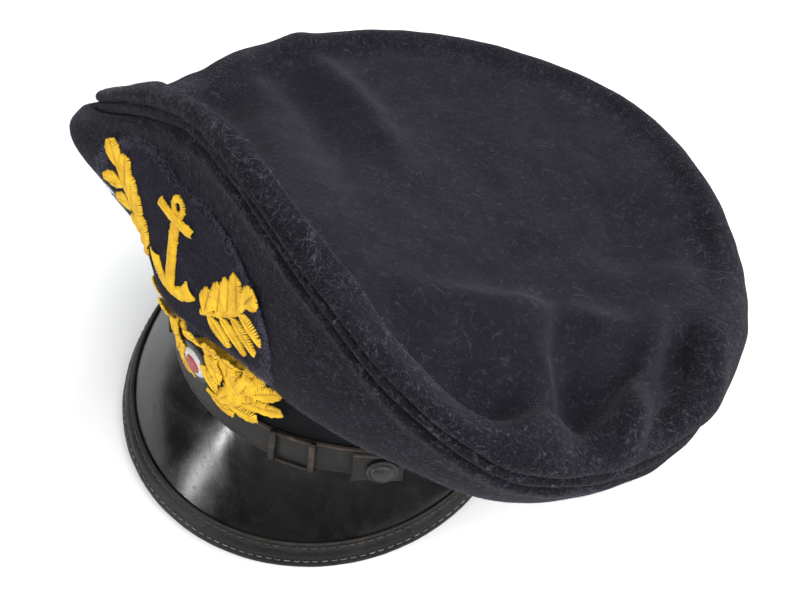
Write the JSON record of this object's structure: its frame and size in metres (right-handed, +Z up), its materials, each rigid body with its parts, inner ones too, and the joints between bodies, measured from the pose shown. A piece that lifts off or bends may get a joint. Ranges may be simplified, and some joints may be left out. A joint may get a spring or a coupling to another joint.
{
  "type": "visor cap",
  "caption": "Soft wool visor cap with a raised front, mohair band, glossy bound visor, leather chin strap and gold embroidered trims.",
  "frame": {"origin": "middle of the bounding box's underside, on the surface that the cap rests on", "axes": "+Z up from the resting surface, -Y towards the visor, +X towards the wearer's left"},
  "size_m": [0.2542, 0.268, 0.1629],
  "materials": {
    "wool": "dark navy wool cloth with a fine raised nap",
    "mohair": "black ribbed mohair braid",
    "patch_wool": "navy badge cloth with a purple cast",
    "gold_thread": "golden yellow satin-stitched thread",
    "visor_gloss": "black lacquered fibre, glossy and lightly scuffed",
    "leather": "black leather with worn brown edges and stitching",
    "button_lacquer": "black lacquered domed metal",
    "cockade_enamel": "painted domed metal with plain rings"
  },
  "bodies": {
    "root": {"crown_top": "wool", "crown_side": "wool", "crown_piping": "wool", "cap_band": "mohair", "visor": "visor_gloss", "visor_binding": "leather", "chin_strap": "leather", "strap_end_left": "leather", "strap_end_right": "leather", "strap_slider_left": "leather", "strap_slider_right": "leather", "side_button_left": "button_lacquer", "side_button_right": "button_lacquer", "badge_patch": "patch_wool", "badge_anchor": "gold_thread", "badge_spray_left": "gold_thread", "badge_spray_right": "gold_thread", "wreath_patch": "patch_wool", "wreath_left": "gold_thread", "wreath_right": "gold_thread", "cockade": "cockade_enamel"}
  },
  "joints": []
}
